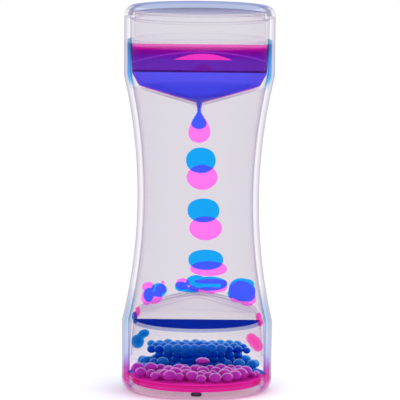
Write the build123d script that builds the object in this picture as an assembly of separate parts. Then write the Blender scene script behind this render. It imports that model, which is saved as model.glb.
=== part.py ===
from build123d import *
from dataclasses import dataclass
import math
import os

# A liquid motion timer that stands on either end. A waisted clear casing, closed
# by a cap at each end, holds clear oil and two coloured liquids. A divider keeps
# the pink liquid in front of it and the blue one behind. Each liquid drips from
# the upper funnel, lands on the lower funnel and runs down to the base.
# Millimetres. The origin is at the middle of the base, +Z is up, the front is -Y.

# Casing
height = 136.0
band_diameter = 53.0
band_height = 24.5
waist_diameter = 42.8
casing_wall = 2.1

# Caps
edge_round = 3.5
flange_land = 0.5
cap_floor = 2.4
tongue_height = 1.0
tongue_width = 1.4

# Filling holes and their plugs, in the base cap
plug_diameter = 3.8
plug_head = 0.9
plug_recess = 0.2
plug_stem_diameter = 2.6
plug_radius = 16.4

# Clearances
seat_clearance = 0.1
film = 0.1
drop_clearance = 0.4
rest_gap = 0.25
overrun = 1.0

# Funnels, measured down from the top of the upper one
rim_depth = 11.7
knee_drop = 12.1
knee_inset = 0.7
shoulder_drop = 5.1
shoulder_inset = 2.7
floor_angle = 16.8
funnel_wall = 0.9
web_thickness = 1.2
notch_width = 5.0
notch_depth = 1.3
notch_angle = 14.0

# Nozzles
nozzle_offset = 6.2
nozzle_bore = 1.2
nozzle_length = 1.5
nozzle_tip_diameter = 3.0
nozzle_root_diameter = 5.2

# Divider
divider_thickness = 1.2

# Levels of the liquids
level_drop = 1.9
pool_depth = 3.0

# Drops: how they are drawn, and the room that they have
drop_bands = 10
drop_sides = 24
drop_depth_share = 0.7
small_drop_bands = 6
small_drop_sides = 12
fall_travel_up = 5.5
fall_travel_down = 1.0
sinking_travel_up = 1.0
sinking_travel_down = 4.5
passage_diameter = 4.0
hanging_neck_share = 0.22


# Pink liquid: the gap over each falling drop, from the top one down, as a share of all the free
# height of the column, then the place along X, width and height of each
pink_fall_shares = (0.3048, 0.375, 0.2601)
pink_fall_sizes = ((1.3, 10.7, 8.9), (2.7, 11.3, 8.5), (3.9, 13.0, 6.2))
# Width of the hanging drop, height of its neck and of its bulb
pink_hanging_sizes = (7.7, 4.0, 7.42)
# Place along X, width and height of the drop that has landed on the lower nozzle
pink_landed_sizes = (3.4, 13.4, 3.0)
# Running drops, right and left: gap to the casing, gap to the divider, width and height
pink_running_sizes = ((0.96, 0.6, 10.0, 9.2), (1.6, 0.9, 8.4, 7.6))
# Sinking drop: its bearing, then its gap to the funnel wall, rise over the rim, width and height
pink_sinking_angle = -13.3
pink_sinking_sizes = (1.1, 5.5, 5.8, 6.4)
# Width of the settled bubbles, and the gap between them
pink_bubble_sizes = (3.0, 1.9)

# Blue liquid, in the same order
blue_fall_shares = (0.2366, 0.3338, 0.3614)
blue_fall_sizes = ((0.8, 10.4, 9.1), (1.9, 11.2, 8.5), (2.9, 12.4, 7.2))
blue_hanging_sizes = (5.3, 3.1, 4.82)
blue_landed_sizes = (2.7, 14.6, 3.0)
blue_running_sizes = ((0.75, 0.5, 10.2, 9.6), (2.2, 1.0, 9.0, 7.4))
blue_sinking_angle = 168.0
blue_sinking_sizes = (0.9, 5.7, 6.2, 6.4)
blue_bubble_sizes = (3.7, 0.2)

# Settled bubbles: number of pink rows, and how many bubbles each blue row has from the lowest up
pink_row_count = 2
blue_row_counts = (3, 6, 8)


@dataclass(frozen=True)
class Liquid:
    """One coloured liquid: its side of the divider and the drops that it has formed."""

    name: str
    side: int
    fall_shares: tuple
    fall_sizes: tuple
    hanging_sizes: tuple
    landed_sizes: tuple
    running_sizes: tuple
    sinking_angle: float
    sinking_sizes: tuple
    bubble_sizes: tuple


pink = Liquid(
    "pink",
    -1,
    pink_fall_shares,
    pink_fall_sizes,
    pink_hanging_sizes,
    pink_landed_sizes,
    pink_running_sizes,
    pink_sinking_angle,
    pink_sinking_sizes,
    pink_bubble_sizes,
)
blue = Liquid(
    "blue",
    1,
    blue_fall_shares,
    blue_fall_sizes,
    blue_hanging_sizes,
    blue_landed_sizes,
    blue_running_sizes,
    blue_sinking_angle,
    blue_sinking_sizes,
    blue_bubble_sizes,
)

# Sizes that follow from the ones above
middle = height / 2
band_radius = band_diameter / 2
waist_radius = waist_diameter / 2
bore_radius = band_radius - casing_wall
waist_bore_radius = waist_radius - casing_wall
tongue_radius = bore_radius - seat_clearance
dish_radius = tongue_radius - tongue_width
flange_height = edge_round + flange_land
tongue_top = flange_height + tongue_height
pool_level = cap_floor + pool_depth
rim_radius = bore_radius - seat_clearance
knee_radius = rim_radius - knee_inset
shoulder_radius = knee_radius - shoulder_inset
rim_z = height - rim_depth
knee_z = rim_z - knee_drop
shoulder_z = knee_z - shoulder_drop
floor_slope = math.tan(math.radians(floor_angle))
floor_cosine = math.cos(math.radians(floor_angle))
apex_z = shoulder_z - floor_slope * math.sqrt(shoulder_radius**2 - nozzle_offset**2)
inner_apex_z = apex_z + funnel_wall / floor_cosine
tip_z = apex_z - nozzle_length
level_z = rim_z - level_drop
roof_apex_z = height - apex_z
roof_tip_z = height - tip_z
waist_rise = bore_radius - waist_bore_radius
waist_reach = middle - band_height
waist_arc_radius = (waist_reach**2 + waist_rise**2) / (2 * waist_rise)
landed_depth = 2 * (nozzle_offset - divider_thickness / 2 - drop_clearance)
tallest_running = max(sizes[-1] for liquid in (pink, blue) for sizes in liquid.running_sizes)
landing_depth = (tallest_running + rest_gap) / floor_cosine + drop_clearance
front, rear = pink.side, blue.side
running_ends = ("right", "left")


def turned(*edges):
    """A solid turned about the upright axis from edges drawn as radius and height."""
    return revolve(make_face([Plane.XZ * edge for edge in edges]), axis=Axis.Z)


def turned_points(points):
    """A solid turned from a closed outline of straight edges."""
    return turned(Polyline(*points, close=True))


def half_space(side, gap):
    """The space in front of the divider plane or behind it, from a gap on."""
    depth = band_diameter
    return Pos(0, side * (gap + depth / 2), middle) * Box(2 * band_diameter, depth, 2 * height)


def slab(low, high):
    """All the space between two heights."""
    return Pos(0, 0, (low + high) / 2) * Box(2 * band_diameter, 2 * band_diameter, high - low)


def turned_over(shape):
    """The shape as it is at the other end of the timer."""
    return mirror(shape, about=Plane.XY.offset(middle))


def waist_arc(band, waist):
    """The long curve of the waist, between the straight bands."""
    return ThreePointArc((band, band_height), (waist, middle), (band, height - band_height))


def casing():
    top = height - flange_height
    return turned(
        Polyline(
            (band_radius, band_height),
            (band_radius, flange_height),
            (bore_radius, flange_height),
            (bore_radius, band_height),
        ),
        waist_arc(bore_radius, waist_bore_radius),
        Polyline(
            (bore_radius, height - band_height),
            (bore_radius, top),
            (band_radius, top),
            (band_radius, height - band_height),
        ),
        waist_arc(band_radius, waist_radius),
    )


def cap():
    """The cap of the base: a dish with a rounded edge and a tongue inside the casing."""
    return turned(
        Polyline((0, cap_floor), (0, 0), (band_radius - edge_round, 0)),
        CenterArc((band_radius - edge_round, edge_round), edge_round, -90, 90),
        Polyline(
            (band_radius, edge_round),
            (band_radius, flange_height),
            (tongue_radius, flange_height),
            (tongue_radius, tongue_top),
            (dish_radius, tongue_top),
            (dish_radius, cap_floor),
            (0, cap_floor),
        ),
    )


def plug(side, grow):
    """A filling plug, or with some growth the hole that it closes."""
    low = 0 if grow else plug_recess
    head = plug_diameter / 2 + grow
    stem = plug_stem_diameter / 2 + grow
    shoulder = plug_recess + plug_head + grow
    outline = ((0, low), (head, low), (head, shoulder), (stem, shoulder), (stem, cap_floor), (0, cap_floor))
    return Pos(0, side * plug_radius, 0) * turned_points(outline)


def nozzle_axis(side):
    return Pos(0, side * nozzle_offset, 0)


def cup(inset):
    """The round body of a funnel, drawn in by an inset and carried on up past its rim."""
    return turned_points(
        (
            (0, tip_z),
            (shoulder_radius - inset, tip_z),
            (shoulder_radius - inset, shoulder_z),
            (knee_radius - inset, knee_z),
            (rim_radius - inset, rim_z),
            (rim_radius - inset, height),
            (0, height),
        )
    )


def above_floor(side, apex):
    """All that lies above a conical funnel floor whose lowest point is on a nozzle axis."""
    reach = band_diameter
    outline = ((0, apex), (reach, apex + reach * floor_slope), (reach, height + reach), (0, height + reach))
    return nozzle_axis(side) * turned_points(outline)


def funnel_half(side, grow):
    """One half of a funnel as a full body, grown by a clearance."""
    body = cup(-grow) & above_floor(side, apex_z - grow / floor_cosine)
    return body & half_space(side, 0) & slab(0, rim_z)


def funnel_hollow(side, inset, top):
    """The hollow of one half of a funnel up to some height, drawn in by an inset."""
    body = cup(funnel_wall + inset) & above_floor(side, inner_apex_z + inset / floor_cosine)
    return body & half_space(side, web_thickness / 2 + inset) & slab(0, top)


def nozzle(side):
    length = inner_apex_z - tip_z
    shape = Cone(nozzle_tip_diameter / 2, nozzle_root_diameter / 2, length)
    return nozzle_axis(side) * Pos(0, 0, tip_z + length / 2) * shape


def upright(x, y, diameter, low, high):
    """An upright cylinder between two heights."""
    return Pos(x, y, (low + high) / 2) * Cylinder(diameter / 2, high - low)


def web():
    """The wall between the two halves of a funnel, from inside the cup up to the cap."""
    inner = knee_radius - funnel_wall / 2
    edge = bore_radius - seat_clearance
    narrow = dish_radius - seat_clearance
    step_z = height - tongue_top - seat_clearance
    top = height - cap_floor - seat_clearance
    right = ((inner, knee_z), (inner, rim_z), (edge, rim_z), (edge, step_z), (narrow, step_z), (narrow, top))
    left = tuple((-x, z) for x, z in reversed(right))
    outline = Plane.XZ * Polyline(*right, *left, close=True)
    return extrude(make_face(outline), web_thickness / 2, both=True)


def rim_notch(angle):
    """A notch in the rim, where oil passes on its way up and drops on their way down."""
    block = Box(2 * casing_wall + funnel_wall, notch_width, 2 * notch_depth)
    return Rot(0, 0, angle) * Pos(rim_radius, 0, rim_z) * block


def funnel():
    """The upper funnel: two conical floors with a nozzle each, a web and a notched rim."""
    shell = funnel_half(front, 0) + funnel_half(rear, 0)
    for side in (front, rear):
        shell -= funnel_hollow(side, 0, rim_z + overrun)
    shell += web()
    for side in (front, rear):
        shell += nozzle(side)
        shell -= upright(0, side * nozzle_offset, nozzle_bore, tip_z - overrun, inner_apex_z + overrun)
    for quarter in (notch_angle, -notch_angle):
        shell -= rim_notch(quarter)
        shell -= rim_notch(quarter + 180)
    return shell


def divider():
    """The clear plate between the funnels, which follows the waist and both ridges."""
    plate = turned(
        Line((0, height - band_height), (0, band_height)),
        Line((0, band_height), (bore_radius - seat_clearance, band_height)),
        waist_arc(bore_radius - seat_clearance, waist_bore_radius - seat_clearance),
        Line((bore_radius - seat_clearance, height - band_height), (0, height - band_height)),
    )
    plate &= Pos(0, 0, middle) * Box(band_diameter, divider_thickness, height)
    for side in (front, rear):
        body = funnel_half(side, seat_clearance)
        plate -= body
        plate -= turned_over(body)
    return plate


def bulb_points(width, tall):
    """Half the outline of a round bulb about its own middle, from the lowest point up."""
    points = [(0, -tall / 2)]
    for step in range(1, drop_bands):
        turn = math.pi * (step / drop_bands - 1 / 2)
        points.append((width / 2 * math.cos(turn), tall / 2 * math.sin(turn)))
    return points


def ring(width, depth, z, sides):
    """The corners of a level ring round the upright axis, with the first one again at the end."""
    angles = [2 * math.pi * side / sides for side in range(sides)]
    corners = [(width / 2 * math.cos(angle), depth / 2 * math.sin(angle), z) for angle in angles]
    return corners + corners[:1]


def drop(width, depth, tall, sides, bands):
    """A drop about its own middle, with flat facets between level rings of corners."""
    rings = [[(0, 0, -tall / 2)] * (sides + 1)]
    for step in range(1, bands):
        turn = math.pi * (step / bands - 1 / 2)
        reach = math.cos(turn)
        rings.append(ring(width * reach, depth * reach, tall / 2 * math.sin(turn), sides))
    rings.append([(0, 0, tall / 2)] * (sides + 1))
    facets = []
    for low, high in zip(rings, rings[1:]):
        for side in range(sides):
            corners = dict.fromkeys((low[side], low[side + 1], high[side + 1], high[side]))
            facets.append(Face(Wire.make_polygon(list(corners), close=True)))
    return Solid(Shell(facets))


def large_drop(width, depth, tall):
    return drop(width, depth, tall, drop_sides, drop_bands)


def small_drop(width, tall):
    return drop(width, width, tall, small_drop_sides, small_drop_bands)


def drop_space(x, y, width, depth, low, high):
    """The upright space in the oil in which a drop of some width and depth can travel."""
    swell = 1 / math.cos(math.pi / drop_sides)
    room = 2 * drop_clearance
    outline = Polyline(*ring((width + room) * swell, (depth + room) * swell, 0, drop_sides))
    return Pos(x, y, low) * extrude(make_face(outline), high - low)


def hanging_low(liquid):
    """The height of the lowest point of the hanging drop."""
    return tip_z - sum(liquid.hanging_sizes[1:])


def fall_place(liquid, number):
    """Offset, height, width and height of a falling drop, counted from the top one."""
    heights = [tall for _, _, tall in liquid.fall_sizes]
    landed_top = roof_tip_z + rest_gap + liquid.landed_sizes[-1]
    free = hanging_low(liquid) - landed_top - sum(heights)
    gaps = free * sum(liquid.fall_shares[: number + 1])
    offset, width, tall = liquid.fall_sizes[number]
    return offset, hanging_low(liquid) - gaps - sum(heights[:number]) - tall / 2, width, tall


def falling_drop(liquid, number):
    x, z, width, tall = fall_place(liquid, number)
    return Pos(x, liquid.side * nozzle_offset, z) * large_drop(width, width * drop_depth_share, tall)


def fall_passage(liquid):
    """The spaces in the oil for a column of drops: one for each drop's travel, joined by necks."""
    y = liquid.side * nozzle_offset
    width = liquid.hanging_sizes[0]
    low = hanging_low(liquid) - drop_clearance
    spaces = [
        upright(0, y, nozzle_root_diameter + 2 * film, tip_z, inner_apex_z),
        upright(0, y, width + 2 * drop_clearance, low, tip_z),
    ]
    for number in range(len(liquid.fall_shares)):
        x, z, width, tall = fall_place(liquid, number)
        high = z + tall / 2 + fall_travel_up + drop_clearance
        spaces.append(upright(x, y, passage_diameter, z, low + overrun))
        low = z - tall / 2 - fall_travel_down - drop_clearance
        spaces.append(drop_space(x, y, width, width * drop_depth_share, low, high))
    return spaces


def hanging_drop(liquid):
    """The drop that still hangs from its nozzle by a neck."""
    width, neck_height, bulb_height = liquid.hanging_sizes
    neck = nozzle_bore / 2 - film
    waist_z = tip_z - neck_height
    bulb = [(reach, waist_z - bulb_height / 2 + z) for reach, z in bulb_points(width, bulb_height)]
    top = ((neck, waist_z + neck_height * hanging_neck_share), (neck, tip_z), (0, tip_z))
    return nozzle_axis(liquid.side) * turned_points((*bulb[:-2], *top))


def reservoir(side):
    """The liquid still in the upper funnel, with the thread that fills its nozzle."""
    pool = funnel_hollow(side, film, level_z)
    thread = upright(0, side * nozzle_offset, nozzle_bore - 2 * film, tip_z, inner_apex_z + funnel_wall)
    return pool + thread


def landed_drop(liquid):
    """The drop that has just reached the nozzle of the lower funnel."""
    x, width, tall = liquid.landed_sizes
    z = roof_tip_z + rest_gap + tall / 2
    return Pos(x, liquid.side * nozzle_offset, z) * large_drop(width, landed_depth, tall)


def bore_radius_at(z):
    """The radius of the casing's bore at a height within the waist."""
    return waist_bore_radius + waist_arc_radius - math.sqrt(waist_arc_radius**2 - (z - middle) ** 2)


def running_place(liquid, end):
    """The place of a running drop in plan, its way out from the nozzle axis and its heading."""
    wall_gap, divider_gap, width, tall = liquid.running_sizes[running_ends.index(end)]
    y = liquid.side * (divider_thickness / 2 + divider_gap + width / 2)
    out = bore_radius_at(height - shoulder_z + tall / 2) - wall_gap - width / 2
    x = math.copysign(math.sqrt(out**2 - y**2), 1 if end == "right" else -1)
    out_y = y - liquid.side * nozzle_offset
    return x, y, math.hypot(x, out_y), math.degrees(math.atan2(out_y, x))


def running_drop(liquid, end):
    """A drop that runs down the conical roof of the lower funnel and leans with it."""
    _, _, width, tall = liquid.running_sizes[running_ends.index(end)]
    x, y, out, heading = running_place(liquid, end)
    lift = (tall / 2 + rest_gap) / floor_cosine
    place = Pos(x, y, roof_apex_z - out * floor_slope + lift)
    return place * Rot(0, 0, heading) * Rot(0, floor_angle, 0) * small_drop(width, tall)


def sinking_place(liquid):
    wall_gap, rise, width, _ = liquid.sinking_sizes
    out = rim_radius - funnel_wall - wall_gap - width / 2
    bearing = math.radians(liquid.sinking_angle)
    return out * math.cos(bearing), out * math.sin(bearing), rim_depth + rise


def sinking_drop(liquid):
    """A drop that has passed a notch and sinks inside the lower funnel."""
    _, _, width, tall = liquid.sinking_sizes
    return Pos(*sinking_place(liquid)) * small_drop(width, tall)


def pool(side):
    """The liquid that has settled on the base cap."""
    wide = bore_radius - film
    shape = turned_points(
        (
            (0, cap_floor + film),
            (dish_radius - film, cap_floor + film),
            (dish_radius - film, tongue_top + film),
            (wide, tongue_top + film),
            (wide, rim_depth),
            (0, rim_depth),
        )
    )
    return shape & half_space(side, web_thickness / 2 + film) & slab(0, pool_level)


def pink_bubbles():
    """Curved rows of bubbles that have settled on the pink pool along the casing."""
    width, gap = pink.bubble_sizes
    z = pool_level + film + width / 2
    shapes = []
    for row in range(pink_row_count):
        distance = bore_radius - width / 2 - drop_clearance - row * (width + drop_clearance)
        clear = web_thickness / 2 + drop_clearance + width / 2
        arc = math.pi - 2 * math.asin(clear / distance)
        steps = int(arc * distance / (width + gap))
        for step in range(steps + 1):
            angle = -math.pi / 2 + arc * (step / steps - 1 / 2)
            place = Pos(distance * math.cos(angle), distance * math.sin(angle), z)
            shapes.append(place * small_drop(width, width))
    return shapes


def blue_bubble_top():
    width, gap = blue.bubble_sizes
    return pool_level + film + len(blue_row_counts) * (width + gap) - gap


def blue_bubbles():
    """Straight rows of blue bubbles, stacked in the shape of a boat against the web."""
    width, gap = blue.bubble_sizes
    y = web_thickness / 2 + drop_clearance + width / 2
    shapes = []
    for level, count in enumerate(blue_row_counts):
        z = pool_level + film + width / 2 + level * (width + gap)
        for step in range(count):
            place = Pos((width + gap) * (step - (count - 1) / 2), y, z)
            shapes.append(place * small_drop(width, width))
    return shapes


def middle_oil(liquid):
    """The oil between the funnels, open round the column of drops and above the roof."""
    side = liquid.side
    bore, waist = bore_radius - film, waist_bore_radius - film
    low, high = band_height, height - band_height
    outline = Polyline((bore, high), (0, high), (0, low), (bore, low))
    body = turned(outline, waist_arc(bore, waist)) & slab(low, shoulder_z - film)
    body -= funnel_half(side, film)
    body -= turned_over(above_floor(side, apex_z - landing_depth))
    for space in fall_passage(liquid):
        body -= space
    return body & half_space(side, divider_thickness / 2 + film)


def upper_oil(side):
    """The oil over the liquid in the upper funnel."""
    wide = min(rim_radius - funnel_wall, dish_radius) - film
    low, high = level_z + film, height - cap_floor - film
    body = turned_points(((0, low), (wide, low), (wide, high), (0, high)))
    return body & half_space(side, web_thickness / 2 + film)


def lower_oil(liquid, foam_top):
    """The oil inside the lower funnel, open round a drop that sinks through it."""
    _, _, width, tall = liquid.sinking_sizes
    x, y, z = sinking_place(liquid)
    body = turned_over(funnel_hollow(liquid.side, film, height - foam_top))
    high = z + tall / 2 + sinking_travel_up + drop_clearance
    return body - upright(x, y, width + 2 * drop_clearance, foam_top - overrun, high)


def oil(liquid, foam_top):
    return [middle_oil(liquid), upper_oil(liquid.side), lower_oil(liquid, foam_top + film)]


def coloured(liquid):
    """Every piece of one coloured liquid but its bubbles."""
    name = liquid.name
    pieces = {
        f"{name}_reservoir": reservoir(liquid.side),
        f"{name}_hanging_drop": hanging_drop(liquid),
        f"{name}_landed_drop": landed_drop(liquid),
        f"{name}_sinking_drop": sinking_drop(liquid),
        f"{name}_pool": pool(liquid.side),
    }
    for number in range(len(liquid.fall_shares)):
        pieces[f"{name}_falling_drop_{number + 1}"] = falling_drop(liquid, number)
    for end in running_ends:
        pieces[f"{name}_running_drop_{end}"] = running_drop(liquid, end)
    return pieces


def build():
    """Every piece of the timer by its name."""
    upper = funnel()
    shut = cap()
    return {
        "casing": casing(),
        "top_cap": turned_over(shut),
        "base_cap": shut - plug(front, seat_clearance) - plug(rear, seat_clearance),
        "front_fill_plug": plug(front, 0),
        "rear_fill_plug": plug(rear, 0),
        "upper_funnel": upper,
        "lower_funnel": turned_over(upper),
        "divider": divider(),
        "front_oil": oil(pink, pool_level + film + pink.bubble_sizes[0]),
        "rear_oil": oil(blue, blue_bubble_top()),
        "pink_bubbles": pink_bubbles(),
        "blue_bubbles": blue_bubbles(),
        **coloured(pink),
        **coloured(blue),
    }


def as_one(piece):
    """A group of solids, or the single solid itself, ready to be written."""
    solids = [s for item in (piece if isinstance(piece, list) else [piece]) for s in item.solids()]
    return solids[0] if len(solids) == 1 else Compound(solids)


def main():
    os.makedirs("parts", exist_ok=True)
    for name, piece in build().items():
        export_step(as_one(piece), f"parts/{name}.step")


if __name__ == "__main__":
    main()
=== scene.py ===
"""Dresses a liquid motion timer: clear mouldings, clear oil and two coloured liquids.

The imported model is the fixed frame. Each sub-assembly is a class that builds its meshes in
metres in that frame and gives them their finish. The two liquids tint what lies behind them,
so pink over blue reads violet, as it does in the real timer.
"""

import logging
import math
import random
from dataclasses import dataclass
from enum import Enum

import bmesh
import bpy
from mathutils import Euler, Matrix, Vector

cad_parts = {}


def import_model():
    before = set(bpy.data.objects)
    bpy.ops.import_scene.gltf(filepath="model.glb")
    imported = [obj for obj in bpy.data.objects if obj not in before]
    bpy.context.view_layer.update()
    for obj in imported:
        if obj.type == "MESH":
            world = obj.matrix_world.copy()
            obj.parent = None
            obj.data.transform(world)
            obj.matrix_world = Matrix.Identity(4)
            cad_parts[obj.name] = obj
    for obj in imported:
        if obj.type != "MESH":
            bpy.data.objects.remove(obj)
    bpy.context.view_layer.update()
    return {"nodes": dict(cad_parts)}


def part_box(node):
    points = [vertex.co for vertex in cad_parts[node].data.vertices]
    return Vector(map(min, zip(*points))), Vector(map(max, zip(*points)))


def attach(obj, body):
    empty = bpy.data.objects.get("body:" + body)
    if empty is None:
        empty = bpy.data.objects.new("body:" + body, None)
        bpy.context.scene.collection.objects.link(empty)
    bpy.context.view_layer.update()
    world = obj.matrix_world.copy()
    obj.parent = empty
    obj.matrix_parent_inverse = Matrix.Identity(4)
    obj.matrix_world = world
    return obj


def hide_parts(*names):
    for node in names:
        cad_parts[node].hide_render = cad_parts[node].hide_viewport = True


LOG = logging.getLogger("timer")
HOUSING = "housing"

Colour = tuple[float, float, float]
Point = tuple[float, float, float]
Pair = tuple[float, float]
Levels = list[tuple[float, Colour]]
Outline = list[Pair]
Spot = tuple[Point, float]
Socket = bpy.types.NodeSocket
Object = bpy.types.Object
Mesh = bpy.types.Mesh
Material = bpy.types.Material
Nodes = dict[str, Object]
Swirl = bpy.types.NodeOutputs

# One millimetre in metres, and the timer's height in millimetres
MM = 0.001
HEIGHT = 136.0

# The tints of the clear plastic and of the clear oil, thick and thin
CLEAR_TONE = (0.985, 0.983, 0.987)
OIL_TONE = (0.895, 0.876, 0.905)
WHITE = (1.0, 1.0, 1.0)

# What the two liquids let through
PINK_THROUGH = (1.0, 0.2, 0.82)
BLUE_THROUGH = (0.012, 0.46, 1.0)

# A face counts as level or as flat when that part of its unit normal is over this
LEVEL = 0.9
FLAT = 0.99


class Side(Enum):
    """The side of the divider that a liquid keeps to, as the sign of Y."""

    FRONT = -1
    REAR = 1


class Change(Enum):
    """What one closed mesh does to another."""

    CUT_AWAY = "DIFFERENCE"
    JOIN = "UNION"


class NodeSheet:
    """A node tree that is being drawn, with short calls to add nodes and join them."""

    def __init__(self, tree: bpy.types.NodeTree) -> None:
        """Keeps the tree and empties it."""
        self.tree = tree
        tree.nodes.clear()

    def feed(self, value: Socket | object, slot: Socket) -> None:
        """Joins a socket to an input, or sets the input to a plain value.

        Args:
            value: The socket, colour or number.
            slot: The input.
        """
        if isinstance(value, Socket):
            self.tree.links.new(value, slot)
        elif slot.type == "RGBA":
            slot.default_value = (*value, 1)
        else:
            slot.default_value = value

    def add(
        self, kind: str, settings: dict | None = None, *ordered: object, **named: object
    ) -> bpy.types.Node:
        """Adds one node.

        Args:
            kind: The node's type name.
            settings: Properties of the node itself.
            ordered: What its first inputs get.
            named: What its other inputs get, with spaces in a name as underscores.

        Returns:
            The new node.
        """
        node = self.tree.nodes.new(kind)
        for key, value in (settings or {}).items():
            setattr(node, key, value)
        for slot, value in zip(node.inputs, ordered):
            self.feed(value, slot)
        for key, value in named.items():
            self.feed(value, node.inputs[key.replace("_", " ")])
        return node

    def ramp(self, source: Socket, stops: Levels) -> Socket:
        """Adds a colour ramp.

        Args:
            source: The value that drives the ramp.
            stops: Places along the ramp, each with its colour.

        Returns:
            The ramp's colour.
        """
        node = self.add("ShaderNodeValToRGB", Fac=source)
        band = node.color_ramp
        while len(band.elements) > 1:
            band.elements.remove(band.elements[-1])
        band.elements[0].position = stops[0][0]
        band.elements[0].color = (*stops[0][1], 1)
        for place, colour in stops[1:]:
            band.elements.new(place).color = (*colour, 1)
        return node.outputs["Color"]

    def reckon(self, kind: str, *values: Socket | float) -> Socket:
        """Adds one step of arithmetic on sockets or plain numbers."""
        return self.add("ShaderNodeMath", {"operation": kind}, *values).outputs[0]

    def mapped(self, value: Socket, ends: Pair, to: Pair = (0.0, 1.0), soft: bool = True) -> Socket:
        """Maps one range of a value to another one, along an S curve where it is soft."""
        settings = {"interpolation_type": "SMOOTHSTEP" if soft else "LINEAR"}
        return self.add("ShaderNodeMapRange", settings, value, *ends, *to).outputs["Result"]

    def facing(self) -> Socket:
        """How far the surface is turned from the eye."""
        return self.add("ShaderNodeLayerWeight", Blend=0.5).outputs["Facing"]

    def blended(
        self, first: Socket, second: Socket | Colour, share: Socket | float = 1.0, kind: str = "MULTIPLY"
    ) -> Socket:
        """Blends one colour with another one.

        Args:
            first: The first colour.
            second: The second colour.
            share: How much of the blend shows.
            kind: The way they blend.

        Returns:
            The new colour.
        """
        node = self.add("ShaderNodeMix", {"data_type": "RGBA", "blend_type": kind}, Factor=share)
        self.feed(first, node.inputs[6])
        self.feed(second, node.inputs[7])
        return node.outputs[2]

    def axis(self, name: str) -> Socket:
        """One coordinate of the shaded point in the shared frame, in metres."""
        place = self.add("ShaderNodeTexCoord").outputs["Object"]
        return self.add("ShaderNodeSeparateXYZ", None, place).outputs[name]

    def by_height(self, levels: Levels) -> Socket:
        """Adds a colour that changes with height.

        Args:
            levels: Heights in millimetres from the lowest up, each with its colour.

        Returns:
            The colour.
        """
        low, high = levels[0][0], levels[-1][0]
        share = self.mapped(self.axis("Z"), (low * MM, high * MM), soft=False)
        return self.ramp(share, [((z - low) / (high - low), tone) for z, tone in levels])

    def layered(self, first: Socket, second: Socket, share: Socket | float) -> Socket:
        """Mixes two shaders. The second one shows at a full share."""
        return self.add("ShaderNodeMixShader", None, share, first, second).outputs[0]

    def close(self, shader: Socket, kind: str = "Material") -> None:
        """Joins the last shader to the output of a material or of the world."""
        self.add(f"ShaderNodeOutput{kind}", Surface=shader)


def new_material(name: str) -> tuple[Material, NodeSheet]:
    """Makes a material with an empty node sheet.

    Args:
        name: The material's name.

    Returns:
        The material and its sheet.
    """
    material = bpy.data.materials.new(name)
    material.use_nodes = True
    return material, NodeSheet(material.node_tree)


def swirl_group() -> bpy.types.NodeTree:
    """The slow swirls and fine haze that every material here has, as a shader node group.

    Returns:
        The group. It puts out a mask that varies round one, a roughness and a normal.
    """
    name = "slow_swirl"
    if name in bpy.data.node_groups:
        return bpy.data.node_groups[name]
    tree = bpy.data.node_groups.new(name, "ShaderNodeTree")
    sheet = NodeSheet(tree)
    defaults = {"Scale": 60.0, "Depth": 0.1, "Roughness": 0.05, "Haze": 0.05, "Bump": 0.02}
    for label, value in defaults.items():
        socket = tree.interface.new_socket(label, in_out="INPUT", socket_type="NodeSocketFloat")
        socket.default_value = value
    for label, kind in {"Mask": "Float", "Rough": "Float", "Normal": "Vector"}.items():
        tree.interface.new_socket(label, in_out="OUTPUT", socket_type=f"NodeSocket{kind}")
    start = sheet.add("NodeGroupInput").outputs
    place = sheet.add("ShaderNodeTexCoord").outputs["Object"]
    noise = sheet.add("ShaderNodeTexNoise", Vector=place, Scale=start["Scale"], Detail=3.0, Roughness=0.45)
    height = noise.outputs["Fac"]
    centred = sheet.reckon("SUBTRACT", height, 0.5)
    bump = sheet.add("ShaderNodeBump", Distance=0.0004, Height=height, Strength=start["Bump"])
    sheet.add(
        "NodeGroupOutput",
        Mask=sheet.reckon("MULTIPLY_ADD", centred, start["Depth"], 1.0),
        Rough=sheet.reckon("MULTIPLY_ADD", height, start["Haze"], start["Roughness"]),
        Normal=bump.outputs["Normal"],
    )
    return tree


def swirled(sheet: NodeSheet, scale: float, roughness: float, depth: float = 0.1) -> Swirl:
    """Adds the swirl group to a material."""
    settings = {"node_tree": swirl_group()}
    return sheet.add("ShaderNodeGroup", settings, Scale=scale, Roughness=roughness, Depth=depth).outputs


def skinned(
    sheet: NodeSheet, tint: Socket, base: Socket | Colour, ior: float, swirl: Swirl, share: Socket | float
) -> Socket:
    """Lays a glossy skin with the slow swirls over a clear tint.

    Args:
        sheet: The material's node sheet.
        tint: What the clear part lets through.
        base: The colour of the skin.
        ior: The skin's index of refraction.
        swirl: The outputs of the swirl group.
        share: How much of the skin shows.

    Returns:
        The mix of both.
    """
    clear = sheet.add("ShaderNodeBsdfTransparent", Color=tint)
    finish = {"Base_Color": base, "IOR": ior, "Roughness": swirl["Rough"], "Normal": swirl["Normal"]}
    return sheet.layered(clear.outputs[0], sheet.add("ShaderNodeBsdfPrincipled", **finish).outputs[0], share)


def open_behind(sheet: NodeSheet, shader: Socket) -> Socket:
    """Makes a closed body tint once: where a ray leaves it, the surface is fully clear."""
    behind = sheet.add("ShaderNodeNewGeometry").outputs["Backfacing"]
    return sheet.layered(shader, sheet.add("ShaderNodeBsdfTransparent").outputs[0], behind)


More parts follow.
